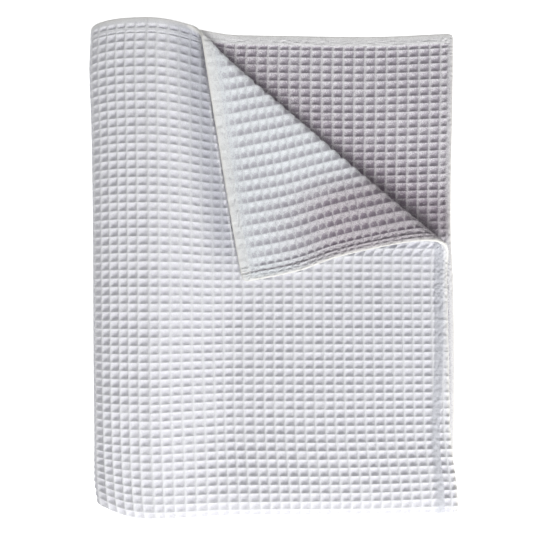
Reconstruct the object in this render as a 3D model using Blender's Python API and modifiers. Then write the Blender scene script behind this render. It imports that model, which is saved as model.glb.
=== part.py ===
"""Waffle weave cotton blanket, folded in four, with its top corner turned back.

The blanket is one hemmed panel of thick cotton. It is folded in half at the bottom edge,
folded in half again at the left edge, and the right corner of the top layer is turned
back over a slanting crease. The left fold is a soft open roll and the right side lies flat.

Metres, +Z up. While the cloth is being folded, across is measured from the left fold to
the right and along from the bottom fold to the top hems, and the floor is at zero.
"""

import math
from collections import namedtuple

import bmesh
import bpy
import numpy as np
from mathutils import Matrix, Vector

# The panel as it was cut and hemmed
FLAT_WIDTH = 0.762
FLAT_LENGTH = 1.016
THICKNESS = 0.0026
CORNER_ROUNDING = 0.006

# The panel folded in four
FOLDED_WIDTH = 0.3741
LAYER_PITCH = 0.0036
FOLD_TAPER = 0.100
UNDER_FOLD_RADIUS = 0.0036
PULL_REACH = 0.090

# The left roll, across from its outermost line
UNDER_ACROSS = 0.024
CROWN_ACROSS = 0.062
FOOT_ACROSS = 0.150
UPRIGHT_SHARE = 0.5

# Soft edge of the turned-back corner
FLAP_TAPER = 0.075
FLAP_LIFT = 0.0012

# The roll at distances along from the bottom fold: height of its crown, height of its
# outermost line, and how far that line is drawn in from the left
RollRow = namedtuple("RollRow", "along crown edge inset")
ROLL = (
    RollRow(0.000, 0.0370, 0.0145, 0.0095),
    RollRow(0.030, 0.0390, 0.0155, 0.0062),
    RollRow(0.120, 0.0440, 0.0165, 0.0046),
    RollRow(0.300, 0.0465, 0.0170, 0.0038),
    RollRow(0.400, 0.0475, 0.0172, 0.0026),
    RollRow(0.470, 0.0480, 0.0175, 0.0005),
    RollRow(0.508, 0.0470, 0.0175, 0.0024),
)

# The bottom fold and the top hems at distances across the panel, where negative is the
# half that lies underneath: radius of the fold on its inner side, how far along and how
# high the soft shoulder of its outer layer goes, over what distance that layer settles, how
# far the fold is drawn up, and how far along the hems of the outer and inner layers reach
PanelRow = namedtuple("PanelRow", "across radius reach rise settling pull outer_hem inner_hem")
PANEL = (
    PanelRow(-0.381, 0.0036, 0.0036, 0.0036, 0.100, 0.0040, 0.4950, 0.4930),
    PanelRow(-0.200, 0.0036, 0.0036, 0.0036, 0.100, 0.0045, 0.4965, 0.4950),
    PanelRow(-0.040, 0.0036, 0.0036, 0.0036, 0.100, 0.0080, 0.4960, 0.4945),
    PanelRow(0.000, 0.0040, 0.0050, 0.0044, 0.100, 0.0110, 0.4960, 0.4940),
    PanelRow(0.040, 0.0044, 0.0140, 0.0076, 0.100, 0.0010, 0.4990, 0.4950),
    PanelRow(0.090, 0.0046, 0.0200, 0.0100, 0.120, -0.0012, 0.4992, 0.4962),
    PanelRow(0.130, 0.0046, 0.0220, 0.0118, 0.190, -0.0008, 0.4965, 0.4972),
    PanelRow(0.200, 0.0046, 0.0220, 0.0120, 0.250, 0.0000, 0.4964, 0.4962),
    PanelRow(0.300, 0.0046, 0.0210, 0.0114, 0.250, 0.0005, 0.4956, 0.4950),
    PanelRow(0.381, 0.0038, 0.0170, 0.0092, 0.250, 0.0015, 0.4940, 0.4985),
)

# The right hems at distances along from the bottom fold: how far each of the four layers
# stands out from the folded width
SideRow = namedtuple("SideRow", "along top second third bottom")
SIDES = (
    SideRow(0.000, 0.0006, 0.0006, -0.0010, -0.0010),
    SideRow(0.035, -0.0024, 0.0006, -0.0020, -0.0030),
    SideRow(0.075, -0.0044, 0.0006, -0.0024, -0.0040),
    SideRow(0.160, -0.0040, 0.0004, -0.0024, -0.0065),
    SideRow(0.250, -0.0054, -0.0014, -0.0026, -0.0080),
    SideRow(0.290, -0.0068, -0.0020, -0.0028, -0.0084),
    SideRow(0.330, -0.0128, -0.0022, -0.0030, -0.0088),
    SideRow(0.370, -0.0124, -0.0018, -0.0031, -0.0092),
    SideRow(0.410, -0.0086, -0.0010, -0.0032, -0.0096),
    SideRow(0.450, -0.0058, -0.0004, -0.0034, -0.0100),
    SideRow(0.508, -0.0060, 0.0002, -0.0038, -0.0110),
)

# Low swellings of the two upper layers, where air is caught under them
SwellRow = namedtuple("SwellRow", "across along height reach")
SWELLS = (
    SwellRow(0.235, 0.085, 0.0022, 0.055),
    SwellRow(0.300, 0.215, 0.0014, 0.050),
    SwellRow(0.190, 0.300, 0.0012, 0.060),
    SwellRow(0.330, 0.440, 0.0016, 0.045),
)

# The turned-back corner: two points of its crease, seen from above, half the height of its
# bend at distances down the crease from the upper point, and the share of that by which the
# bend stands out
CREASE_TOP = Vector((0.1350, 0.4695))
CREASE_SIDE = Vector((0.3358, 0.2974))
CreaseRow = namedtuple("CreaseRow", "down rise")
CREASE = (
    CreaseRow(-0.060, 0.0080),
    CreaseRow(0.000, 0.0074),
    CreaseRow(0.130, 0.0068),
    CreaseRow(0.170, 0.0074),
    CreaseRow(0.210, 0.0088),
    CreaseRow(0.250, 0.0102),
    CreaseRow(0.300, 0.0108),
)
CREASE_REACH = 0.5

# Where the flat panel is creased: spans of fold lines, each with its first line, its last
# line and the number of steps between them. Edges shorter than the least are closed up.
SpanRow = namedtuple("SpanRow", "start end steps")
ACROSS_SPANS = (
    SpanRow(-0.360, -0.070, 8),
    SpanRow(-0.050, -0.026, 3),
    SpanRow(-0.020, 0.020, 11),
    SpanRow(0.027, 0.097, 7),
    SpanRow(0.110, 0.180, 5),
    SpanRow(0.205, 0.365, 6),
)
FOLD_STEP = 0.0022
FOLD_STEPS = 4
ALONG_SPANS = (
    SpanRow(0.013, 0.061, 5),
    SpanRow(0.085, 0.445, 11),
    SpanRow(0.475, 0.499, 2),
)
CREASE_STEPS = 9
SECTION_STEPS = 24
SHOULDER_STEPS = 32
CREASE_MARGIN = (-0.030, -0.016, 0.030, 0.055, 0.085)
LEAST_EDGE = 0.0004
TOP_LAYER = "top_layer"


def smooth(value):
    """Rises softly from 0 to 1 as the value goes from 0 to 1."""
    value = min(max(value, 0.0), 1.0)
    return value * value * (3.0 - 2.0 * value)


def read(rows, column, place):
    """Column of a table at a place that its first column gives, smooth between the rows."""
    places = [row[0] for row in rows]
    values = [getattr(row, column) for row in rows]
    if place <= places[0]:
        return values[0]
    for i in range(1, len(rows)):
        if place <= places[i]:
            break
    else:
        return values[-1]
    slopes = []
    for j in (i - 1, i):
        before, after = max(j - 1, 0), min(j + 1, len(rows) - 1)
        slopes.append((values[after] - values[before]) / (places[after] - places[before]))
    step = places[i] - places[i - 1]
    t = (place - places[i - 1]) / step
    start = (1.0 + 2.0 * t) * (1.0 - t) ** 2 * values[i - 1] + t * (1.0 - t) ** 2 * step * slopes[0]
    end = t * t * (3.0 - 2.0 * t) * values[i] + t * t * (t - 1.0) * step * slopes[1]
    return start + end


def shoulder(reach, rise):
    """Quarter of an ellipse from a fold's outermost line to where the cloth is level: the
    length of cloth up to each point, how far along it is and how far it has risen."""
    angles = np.linspace(0.0, math.pi / 2.0, SHOULDER_STEPS + 1)
    along, risen = reach * (1.0 - np.cos(angles)), rise * np.sin(angles)
    run = np.concatenate(([0.0], np.cumsum(np.hypot(np.diff(along), np.diff(risen)))))
    return run, along, risen


def fold_opening(from_fold, reach, rise, settling=FOLD_TAPER):
    """Room that one layer takes on its side of a fold's middle, past the fold's shoulder."""
    closed = smooth((from_fold - shoulder(reach, rise)[0][-1]) / settling)
    return rise + (LAYER_PITCH / 2.0 - rise) * closed


def outer_opening(across, from_fold):
    """Room that the outer layer takes on its side of the bottom fold's middle."""
    reach, rise, settling = (read(PANEL, name, across) for name in ("reach", "rise", "settling"))
    return fold_opening(from_fold, reach, rise, settling)


def bottom_fold(from_fold, reach, rise, settling):
    """Distance along, and height off the fold's middle, at a distance of cloth from the fold."""
    run, along, risen = shoulder(reach, rise)
    if from_fold < run[-1]:
        return np.interp(from_fold, run, along), np.interp(from_fold, run, risen)
    return reach + from_fold - run[-1], fold_opening(from_fold, reach, rise, settling)


def swelling(across, along):
    """Height that the air caught under the upper layers adds at a point."""
    total = 0.0
    for row in SWELLS:
        gone = math.hypot(across - row.across, along - row.along) / row.reach
        total += row.height * math.exp(-gone * gone)
    return total


def upper_height(across, from_fold):
    """Height of the middle line of the two upper layers, from the crown of the roll to the right."""
    under_opening = fold_opening(from_fold, UNDER_FOLD_RADIUS, UNDER_FOLD_RADIUS)
    radius = read(PANEL, "radius", across)
    resting = THICKNESS / 2.0 + 2.0 * under_opening + LAYER_PITCH
    resting += fold_opening(from_fold, radius, radius) + swelling(across, from_fold)
    crown = read(ROLL, "crown", from_fold) - THICKNESS / 2.0 - outer_opening(across, from_fold)
    fall = smooth((across - CROWN_ACROSS) / (FOOT_ACROSS - CROWN_ACROSS))
    return max(crown, resting) + (resting - max(crown, resting)) * fall


def drawn_away(angle):
    """How far a bend has come away from its outermost line, from 0 at it to 1 a quarter turn on.
    The share that is squared keeps the cloth upright for longer than a round arc would."""
    gone = 1.0 - math.cos(angle)
    return (1.0 - UPRIGHT_SHARE) * gone + UPRIGHT_SHARE * gone * gone


def roll_section(from_fold):
    """Middle line of the folded pair of layers in one upright section, from the right hems
    underneath, round the left roll, to the right hems on top."""
    low = THICKNESS / 2.0 + fold_opening(from_fold, UNDER_FOLD_RADIUS, UNDER_FOLD_RADIUS)
    edge = read(ROLL, "edge", from_fold)
    inset = read(ROLL, "inset", from_fold)
    points = [(FOLDED_WIDTH, low)]
    steps = SECTION_STEPS
    for i in range(steps, -1, -1):
        angle = math.pi / 2.0 * i / steps
        points.append((
            inset + (UNDER_ACROSS - inset) * drawn_away(angle),
            edge - (edge - low) * math.sin(angle),
        ))
    crown = upper_height(CROWN_ACROSS, from_fold)
    for i in range(1, steps + 1):
        angle = math.pi / 2.0 * i / steps
        points.append((
            inset + (CROWN_ACROSS - inset) * drawn_away(angle),
            edge + (crown - edge) * math.sin(angle),
        ))
    for i in range(1, 4 * steps + 1):
        across = CROWN_ACROSS + (FOLDED_WIDTH - CROWN_ACROSS) * i / (4 * steps)
        points.append((across, upper_height(across, from_fold)))
    return np.array(points)


class RollSection:
    """One upright section, ready to give the place of any point of the cloth in it."""

    def __init__(self, from_fold):
        self.line = roll_section(from_fold)
        lengths = np.hypot(*np.diff(self.line, axis=0).T)
        self.run = np.concatenate(([0.0], np.cumsum(lengths)))
        slopes = np.gradient(self.line, self.run, axis=0)
        slopes /= np.linalg.norm(slopes, axis=1)[:, None]
        self.outward = np.stack((-slopes[:, 1], slopes[:, 0]), axis=1)

    def place(self, panel_across, spread):
        """Across and height of a point, a spread away from the middle line."""
        run = (panel_across / FLAT_WIDTH + 0.5) * self.run[-1]
        found = []
        for side in range(2):
            middle = np.interp(run, self.run, self.line[:, side])
            found.append(middle + spread * np.interp(run, self.run, self.outward[:, side]))
        return found


def rounded_corner(panel_across, panel_along):
    """The same point of the panel after its four corners are rounded."""
    half = (FLAT_WIDTH / 2.0, FLAT_LENGTH / 2.0)
    point = (panel_across, panel_along)
    reach = [max(abs(p) - h + CORNER_ROUNDING, 0.0) / CORNER_ROUNDING for p, h in zip(point, half)]
    if not all(reach):
        return point
    rounded = []
    for axis in range(2):
        drawn_in = reach[axis] * math.sqrt(1.0 - reach[1 - axis] ** 2 / 2.0)
        size = half[axis] - CORNER_ROUNDING * (1.0 - drawn_in)
        rounded.append(math.copysign(size, point[axis]))
    return tuple(rounded)


def fold_in_four(panel_across, panel_along, section):
    """Place of a point of the flat panel once it is folded at the bottom and at the left."""
    from_fold = abs(panel_along)
    outer = panel_along >= 0.0
    reach = read(PANEL, "reach" if outer else "radius", panel_across)
    rise = read(PANEL, "rise" if outer else "radius", panel_across)
    settling = read(PANEL, "settling", panel_across) if outer else FOLD_TAPER
    along, spread = bottom_fold(from_fold, reach, rise, settling)
    across, height = section.place(panel_across, spread if outer else -spread)
    hem = read(PANEL, "outer_hem" if outer else "inner_hem", panel_across)
    joined = 1.0 - smooth(from_fold / FOLD_TAPER)
    shared = (read(PANEL, "outer_hem", panel_across) + read(PANEL, "inner_hem", panel_across)) / 2.0
    hem += (shared - hem) * joined
    along *= hem / bottom_fold(FLAT_LENGTH / 2.0, reach, rise, settling)[0]
    along += read(PANEL, "pull", panel_across) * (1.0 - smooth(from_fold / PULL_REACH))
    if panel_across >= 0.0:
        layers = ("top", "second")
    else:
        layers = ("bottom", "third")
    out = read(SIDES, layers[0] if outer else layers[1], from_fold)
    both = (read(SIDES, layers[0], from_fold) + read(SIDES, layers[1], from_fold)) / 2.0
    out += (both - out) * joined
    across += out * (abs(panel_across) / (FLAT_WIDTH / 2.0)) ** 2
    return Vector((across, along, height))


def crease_bend(rise):
    """The crease's half turn from the top layer up and back: the length of cloth up to each
    point, how far it stands out from where it starts, and how far it has risen."""
    angles = np.linspace(0.0, math.pi, SHOULDER_STEPS + 1)
    out, risen = CREASE_REACH * rise * np.sin(angles), rise * (1.0 - np.cos(angles))
    run = np.concatenate(([0.0], np.cumsum(np.hypot(np.diff(out), np.diff(risen)))))
    return run, out, risen


def turn_back(place):
    """Place of a point of the top layer once the corner is turned back over the crease."""
    down = (CREASE_SIDE - CREASE_TOP).normalized()
    outward = Vector((-down.y, down.x))
    flat = place.xy - CREASE_TOP
    slid, beyond = flat.dot(down), flat.dot(outward)
    rise = read(CREASE, "rise", slid)
    run, out, risen = crease_bend(rise)
    bent = beyond + CREASE_REACH * rise
    if bent <= 0.0:
        return place
    if bent < run[-1]:
        beyond = float(np.interp(bent, run, out)) - CREASE_REACH * rise
        lift = float(np.interp(bent, run, risen))
    else:
        bent -= float(run[-1])
        beyond = -CREASE_REACH * rise - bent
        settled = LAYER_PITCH + FLAP_LIFT
        lift = settled + (2.0 * rise - settled) * (1.0 - smooth(bent / FLAP_TAPER))
    turned = CREASE_TOP + slid * down + beyond * outward
    height = place.z + top_height(*turned) - top_height(*place.xy) + lift
    return Vector((turned.x, turned.y, height))


def top_height(across, along):
    """Height of the middle of the top layer, where the roll is past its crown."""
    return upper_height(max(across, CROWN_ACROSS), along) + outer_opening(across, along)


def span_lines(spans):
    """Every fold line of a table of spans."""
    for span in spans:
        for i in range(span.steps + 1):
            yield span.start + (span.end - span.start) * i / span.steps


def crease(bm, point, normal, faces):
    """Marks one straight crease across some faces of the cloth."""
    edges = {edge for face in faces for edge in face.edges}
    verts = {vert for face in faces for vert in face.verts}
    bmesh.ops.bisect_plane(
        bm, geom=list(verts) + list(edges) + list(faces), dist=1e-6, plane_co=point, plane_no=normal
    )


def creased_panel():
    """The flat panel, creased across its width and length where it will bend."""
    bm = bmesh.new()
    bmesh.ops.create_grid(bm, x_segments=1, y_segments=1, size=0.5)
    bmesh.ops.scale(bm, vec=(FLAT_WIDTH, FLAT_LENGTH, 1.0), verts=bm.verts[:])
    for across in span_lines(ACROSS_SPANS):
        crease(bm, (across, 0.0, 0.0), (1.0, 0.0, 0.0), bm.faces[:])
    fold_lines = [FOLD_STEP * i for i in range(-FOLD_STEPS, FOLD_STEPS + 1)]
    for along in span_lines(ALONG_SPANS):
        fold_lines += [-along, along]
    for along in fold_lines:
        crease(bm, (0.0, along, 0.0), (0.0, 1.0, 0.0), bm.faces[:])
    return bm


def fold_panel(bm):
    """Folds the creased panel in four and marks the faces of its top layer."""
    top = bm.faces.layers.int.new(TOP_LAYER)
    for face in bm.faces:
        middle = face.calc_center_median()
        face[top] = middle.x > CROWN_ACROSS and middle.y > FOLD_TAPER
    sections = {}
    for vert in bm.verts:
        panel_across, panel_along = rounded_corner(vert.co.x, vert.co.y)
        from_fold = round(abs(panel_along), 6)
        if from_fold not in sections:
            sections[from_fold] = RollSection(from_fold)
        vert.co = fold_in_four(panel_across, panel_along, sections[from_fold])


def turn_corner(bm):
    """Creases the top layer's corner along slanting lines and turns it back."""
    top = bm.faces.layers.int[TOP_LAYER]
    down = (CREASE_SIDE - CREASE_TOP).normalized()
    outward = Vector((-down.y, down.x, 0.0))
    rise = max(row.rise for row in CREASE)
    bend = np.linspace(0.0, crease_bend(rise)[0][-1], CREASE_STEPS + 1) - CREASE_REACH * rise
    for distance in bend.tolist() + list(CREASE_MARGIN):
        point = CREASE_TOP.to_3d() + outward * distance
        crease(bm, point, outward, [face for face in bm.faces if face[top]])
    corner = {vert for face in bm.faces if face[top] for vert in face.verts}
    for vert in corner:
        vert.co = turn_back(vert.co)


def cotton():
    """White cotton."""
    material = bpy.data.materials.new("white_cotton")
    material.use_nodes = True
    shader = material.node_tree.nodes["Principled BSDF"]
    shader.inputs["Base Color"].default_value = (0.86, 0.86, 0.87, 1.0)
    shader.inputs["Roughness"].default_value = 0.92
    shader.inputs["Metallic"].default_value = 0.0
    return material


def make_blanket(collection):
    """The whole blanket as one thick sheet, standing on the floor about the origin."""
    bm = creased_panel()
    fold_panel(bm)
    turn_corner(bm)
    bmesh.ops.remove_doubles(bm, verts=bm.verts[:], dist=LEAST_EDGE)
    bmesh.ops.triangulate(bm, faces=bm.faces[:])
    bmesh.ops.recalc_face_normals(bm, faces=bm.faces[:])
    mesh = bpy.data.meshes.new("blanket")
    bm.to_mesh(mesh)
    bm.free()
    mesh.shade_smooth()
    mesh.materials.append(cotton())
    blanket = bpy.data.objects.new("blanket", mesh)
    collection.objects.link(blanket)
    body = blanket.modifiers.new("thickness", "SOLIDIFY")
    body.thickness = THICKNESS
    body.offset = 0.0
    body.use_quality_normals = True
    bpy.context.view_layer.update()
    solid = blanket.evaluated_get(bpy.context.evaluated_depsgraph_get())
    corners = [Vector(corner) for corner in solid.bound_box]
    low = Vector([min(corner[axis] for corner in corners) for axis in range(3)])
    high = Vector([max(corner[axis] for corner in corners) for axis in range(3)])
    middle = (low + high) / 2.0
    mesh.transform(Matrix.Translation((-middle.x, -middle.y, -low.z)))
    return blanket


def main():
    for old in list(bpy.data.objects):
        bpy.data.objects.remove(old)
    collection = bpy.data.collections.new("waffle_weave_cotton_blanket")
    bpy.context.scene.collection.children.link(collection)
    make_blanket(collection)


main()
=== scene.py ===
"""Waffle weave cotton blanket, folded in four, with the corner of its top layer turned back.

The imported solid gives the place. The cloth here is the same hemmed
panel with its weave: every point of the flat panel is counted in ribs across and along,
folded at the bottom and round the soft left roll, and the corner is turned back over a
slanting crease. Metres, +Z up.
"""
import logging
import math
from dataclasses import dataclass, field
from enum import Enum
from typing import Mapping, Optional, Sequence, Union

import bpy
import numpy as np
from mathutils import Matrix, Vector


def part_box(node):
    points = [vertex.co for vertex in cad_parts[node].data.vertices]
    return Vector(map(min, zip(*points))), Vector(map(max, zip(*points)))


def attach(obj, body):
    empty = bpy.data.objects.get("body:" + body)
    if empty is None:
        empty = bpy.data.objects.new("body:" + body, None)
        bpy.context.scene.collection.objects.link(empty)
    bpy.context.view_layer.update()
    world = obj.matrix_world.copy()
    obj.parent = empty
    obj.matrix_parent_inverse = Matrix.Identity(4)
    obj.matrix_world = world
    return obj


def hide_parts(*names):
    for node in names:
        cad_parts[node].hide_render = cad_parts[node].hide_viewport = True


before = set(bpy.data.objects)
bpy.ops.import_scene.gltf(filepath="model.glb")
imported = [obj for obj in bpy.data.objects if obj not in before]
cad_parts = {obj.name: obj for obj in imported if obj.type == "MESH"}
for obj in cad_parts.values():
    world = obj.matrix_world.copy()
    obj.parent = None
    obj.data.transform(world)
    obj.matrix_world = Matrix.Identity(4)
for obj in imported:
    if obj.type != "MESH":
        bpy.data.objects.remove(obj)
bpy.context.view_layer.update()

NODE = "blanket"
BODY = "root"
LOG = logging.getLogger("blanket")

Array = np.ndarray
Pair = tuple[float, float]
Triple = tuple[float, float, float]


def smooth(value: Array) -> Array:
    """Rises softly from 0 to 1 as the value goes from 0 to 1."""
    held = np.clip(value, 0.0, 1.0)
    return held * held * (3.0 - 2.0 * held)


def past(value: Array, place: float, reach: float) -> Array:
    """Rises softly from 0 at a place to 1 a reach beyond it."""
    return smooth((value - place) / reach)


def bell(value: Array, middle: float, reach: float) -> Array:
    """A soft bump of height 1 about a middle, mostly gone at its reach."""
    return np.exp(-(((value - middle) / reach) ** 2))


@dataclass(frozen=True)
class Table:
    """Sizes in named columns, read smoothly between their rows."""

    columns: tuple[str, ...]
    rows: tuple[tuple[float, ...], ...]

    def column(self, name: str) -> Array:
        """Values of one column."""
        return np.array([row[self.columns.index(name)] for row in self.rows])

    def read(self, name: str, place: Array) -> Array:
        """Reads a column at places that the first column gives.

        Args:
            name: the column to read.
            place: where to read it, in the unit of the first column.

        Returns:
            The values, level before the first row and after the last.
        """
        places, values = self.column(self.columns[0]), self.column(name)
        index = np.arange(len(places))
        before, after = np.maximum(index - 1, 0), np.minimum(index + 1, len(places) - 1)
        slopes = (values[after] - values[before]) / (places[after] - places[before])
        at = np.clip(place, places[0], places[-1])
        i = np.clip(np.searchsorted(places, at), 1, len(places) - 1)
        step = places[i] - places[i - 1]
        t = (at - places[i - 1]) / step
        start = (1.0 + 2.0 * t) * (1.0 - t) ** 2 * values[i - 1]
        start = start + t * (1.0 - t) ** 2 * step * slopes[i - 1]
        end = t * t * (3.0 - 2.0 * t) * values[i] + t * t * (t - 1.0) * step * slopes[i]
        return start + end

    def straight(self, name: str, place: Array) -> Array:
        """Reads a column in straight lines from row to row."""
        return np.interp(place, self.column(self.columns[0]), self.column(name))

    def back(self, name: str, value: Array) -> Array:
        """Gives the place at which a rising column has a value."""
        return np.interp(value, self.column(name), self.column(self.columns[0]))


ROLL = Table(
    ("along", "crown", "edge", "inset"),
    (
        (0.000, 0.0370, 0.0145, 0.0095),
        (0.030, 0.0390, 0.0155, 0.0062),
        (0.120, 0.0440, 0.0165, 0.0046),
        (0.300, 0.0465, 0.0170, 0.0038),
        (0.400, 0.0475, 0.0172, 0.0026),
        (0.470, 0.0480, 0.0175, 0.0005),
        (0.508, 0.0470, 0.0175, 0.0024),
    ),
)
PANEL = Table(
    ("across", "radius", "reach", "rise", "settling", "pull", "outer_hem", "inner_hem"),
    (
        (-0.381, 0.0036, 0.0036, 0.0036, 0.100, 0.0040, 0.4950, 0.4930),
        (-0.200, 0.0036, 0.0036, 0.0036, 0.100, 0.0045, 0.4965, 0.4950),
        (-0.040, 0.0036, 0.0036, 0.0036, 0.100, 0.0080, 0.4960, 0.4945),
        (0.000, 0.0040, 0.0050, 0.0044, 0.100, 0.0110, 0.4960, 0.4940),
        (0.040, 0.0044, 0.0140, 0.0076, 0.100, 0.0010, 0.4990, 0.4950),
        (0.090, 0.0046, 0.0200, 0.0100, 0.120, -0.0012, 0.4992, 0.4962),
        (0.130, 0.0046, 0.0220, 0.0118, 0.190, -0.0008, 0.4965, 0.4972),
        (0.200, 0.0046, 0.0220, 0.0120, 0.250, 0.0000, 0.4964, 0.4962),
        (0.300, 0.0046, 0.0210, 0.0114, 0.250, 0.0005, 0.4956, 0.4950),
        (0.381, 0.0038, 0.0170, 0.0092, 0.250, 0.0015, 0.4940, 0.4985),
    ),
)
SIDES = Table(
    ("along", "top", "second", "third", "bottom"),
    (
        (0.000, 0.0006, 0.0006, -0.0010, -0.0010),
        (0.035, -0.0022, 0.0006, -0.0020, -0.0030),
        (0.075, -0.0056, 0.0012, -0.0024, -0.0040),
        (0.160, -0.0064, 0.0018, -0.0024, -0.0065),
        (0.250, -0.0072, 0.0000, -0.0026, -0.0080),
        (0.290, -0.0068, -0.0020, -0.0028, -0.0084),
        (0.330, -0.0128, -0.0022, -0.0030, -0.0088),
        (0.370, -0.0124, -0.0018, -0.0031, -0.0092),
        (0.410, -0.0094, -0.0010, -0.0032, -0.0096),
        (0.450, -0.0024, -0.0004, -0.0034, -0.0100),
        (0.508, -0.0008, 0.0002, -0.0038, -0.0110),
    ),
)
SWELLS = (
    (0.235, 0.085, 0.0022, 0.055),
    (0.300, 0.215, 0.0014, 0.050),
    (0.190, 0.300, 0.0012, 0.060),
    (0.330, 0.440, 0.0016, 0.045),
)
CREASE = Table(
    ("down", "rise", "reach"),
    (
        (-0.060, 0.0080, 0.50),
        (0.000, 0.0074, 0.50),
        (0.130, 0.0068, 0.50),
        (0.170, 0.0076, 0.52),
        (0.210, 0.0094, 0.62),
        (0.250, 0.0112, 0.80),
        (0.300, 0.0126, 0.95),
    ),
)


@dataclass(frozen=True)
class FoldedPanel:
    """The middle surface of the panel, folded in four with its corner turned back.

    Across is measured from the left fold, along from the bottom fold, and height from the
    floor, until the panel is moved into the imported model's place.
    """

    flat_width: float = 0.762
    flat_length: float = 1.016
    thickness: float = 0.0026
    corner_rounding: float = 0.006
    folded_width: float = 0.3741
    layer_pitch: float = 0.0036
    fold_taper: float = 0.100
    under_radius: float = 0.0036
    pull_reach: float = 0.090
    under_across: float = 0.024
    crown_across: float = 0.062
    foot_across: float = 0.150
    upright_share: float = 0.5
    flap_taper: float = 0.075
    flap_lift: float = 0.0012
    crease_shapes: tuple[float, float, int] = (0.4, 1.1, 15)
    crease_top: Pair = (0.1350, 0.4695)
    crease_side: Pair = (0.3358, 0.2974)
    shoulder_steps: int = 32
    quarter_steps: int = 60
    level_steps: int = 160
    section_count: int = 255
    run_count: int = 1525
    probe_counts: tuple[int, int] = (400, 300)
    probe_start: float = -0.02
    sections: dict[str, Array] = field(default_factory=dict)

    def __post_init__(self) -> None:
        """Works out the upright sections through the roll once."""
        self.sections.update(self.roll_sections())

    def crease_axes(self) -> tuple[Array, Array, Array]:
        """Gives the crease's place.

        Returns:
            Its upper point, and the directions down it and outward over it, seen from above.
        """
        top = np.array(self.crease_top)
        down = np.array(self.crease_side) - top
        down = down / np.linalg.norm(down)
        return top, down, np.array((-down[1], down[0]))

    def shoulder(
        self, reach: Array, rise: Array, distance: Optional[Array] = None
    ) -> tuple[Array, Array, Array]:
        """Follows the quarter ellipse that a fold makes on one side of its middle.

        Args:
            reach: how far along the ellipse goes.
            rise: how high it goes.
            distance: length of cloth from the fold's outermost line.

        Returns:
            The ellipse's whole length, and how far along and how high the cloth is at the distance.
        """
        length = np.zeros(np.broadcast(reach, rise).shape)
        along, risen = np.zeros_like(length), np.zeros_like(length)
        angles = np.linspace(0.0, math.pi / 2.0, self.shoulder_steps + 1)
        for start, end in zip(angles[:-1], angles[1:]):
            along_step = reach * (math.cos(start) - math.cos(end))
            rise_step = rise * (math.sin(end) - math.sin(start))
            step = np.hypot(along_step, rise_step)
            if distance is not None:
                share = np.clip((distance - length) / step, 0.0, 1.0)
                along = along + share * along_step
                risen = risen + share * rise_step
            length = length + step
        return length, along, risen

    def opening(
        self, distance: Array, reach: Array, rise: Array, settling: Array
    ) -> Array:
        """Room that one layer takes on its side of a fold's middle, past the shoulder."""
        closed = past(distance, self.shoulder(reach, rise)[0], settling)
        return rise + (self.layer_pitch / 2.0 - rise) * closed

    def under_opening(self, distance: Array) -> Array:
        """Room that a layer of the lower pair takes on its side of the bottom fold's middle."""
        return self.opening(distance, self.under_radius, self.under_radius, self.fold_taper)

    def outer_opening(self, across: Array, distance: Array) -> Array:
        """Room that the outer layer takes on its side of the bottom fold's middle."""
        sizes = (PANEL.read(name, across) for name in ("reach", "rise", "settling"))
        return self.opening(distance, *sizes)

    def bottom_fold(
        self, distance: Array, reach: Array, rise: Array, settling: Array
    ) -> tuple[Array, Array]:
        """Follows one layer from the bottom fold.

        Args:
            distance: length of cloth from the fold's outermost line.
            reach: how far along the fold's shoulder goes.
            rise: how far off the fold's middle it goes.
            settling: length over which the layer then comes to the even pitch.

        Returns:
            How far along the cloth is, and how far off the fold's middle.
        """
        length, along, risen = self.shoulder(reach, rise, distance)
        level = distance >= length
        along = np.where(level, reach + distance - length, along)
        return along, np.where(level, self.opening(distance, reach, rise, settling), risen)

    def swelling(self, across: Array, along: Array) -> Array:
        """Height that the air caught under the upper layers adds.

        Args:
            across: distance from the left fold.
            along: distance from the bottom fold.

        Returns:
            The added heights.
        """
        total = np.zeros(np.broadcast(across, along).shape)
        for swell_across, swell_along, height, reach in SWELLS:
            gone = np.hypot(across - swell_across, along - swell_along) / reach
            total = total + height * np.exp(-gone * gone)
        return total

    def upper_height(self, across: Array, distance: Array) -> Array:
        """Height of the middle line of the two upper layers, from the roll's crown to the right.

        Args:
            across: distance from the left fold.
            distance: length of cloth from the bottom fold.

        Returns:
            The heights above the floor.
        """
        radius = PANEL.read("radius", across)
        resting = self.thickness / 2.0 + self.layer_pitch + 2.0 * self.under_opening(distance)
        resting = resting + self.opening(distance, radius, radius, self.fold_taper)
        resting = resting + self.swelling(across, distance)
        crown = ROLL.read("crown", distance) - self.thickness / 2.0
        crown = crown - self.outer_opening(across, distance)
        fall = smooth((across - self.crown_across) / (self.foot_across - self.crown_across))
        crown = np.maximum(crown, resting)
        return crown + (resting - crown) * fall

    def top_height(self, across: Array, along: Array) -> Array:
        """Height of the middle of the top layer, where the roll is past its crown."""
        height = self.upper_height(np.maximum(across, self.crown_across), along)
        return height + self.outer_opening(across, along)

    def drawn_away(self, angle: Array) -> Array:
        """How far a bend has come away from its outermost line, from 0 at it to 1."""
        gone = 1.0 - np.cos(angle)
        return (1.0 - self.upright_share) * gone + self.upright_share * gone * gone

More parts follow.
